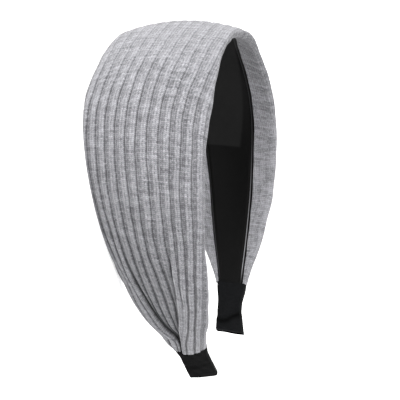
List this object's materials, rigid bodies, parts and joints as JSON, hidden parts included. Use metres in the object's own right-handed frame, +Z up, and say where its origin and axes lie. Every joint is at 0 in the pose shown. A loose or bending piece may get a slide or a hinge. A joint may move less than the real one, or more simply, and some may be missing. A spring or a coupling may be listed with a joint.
{
  "type": "wide knit headband",
  "caption": "Wide springy hair band under a folded grey rib-knit cover, gathered at both tips into short black ribbon sleeves.",
  "frame": {"origin": "centre of the bounding box's bottom, on the surface that the band lies on", "axes": "+Z up through the arch's opening, +Y towards the crown, +X across the head to the right-hand tip"},
  "size_m": [0.136, 0.1424, 0.0543],
  "materials": {
    "heather_knit": "heather grey rib knit, soft and matt",
    "black_band": "smooth black, satin",
    "black_ribbon": "tightly woven black ribbon"
  },
  "bodies": {
    "root": {"knit_cover": "heather_knit", "inner_band": "black_band", "end_sleeve_left": "black_ribbon", "end_sleeve_right": "black_ribbon"}
  },
  "joints": []
}
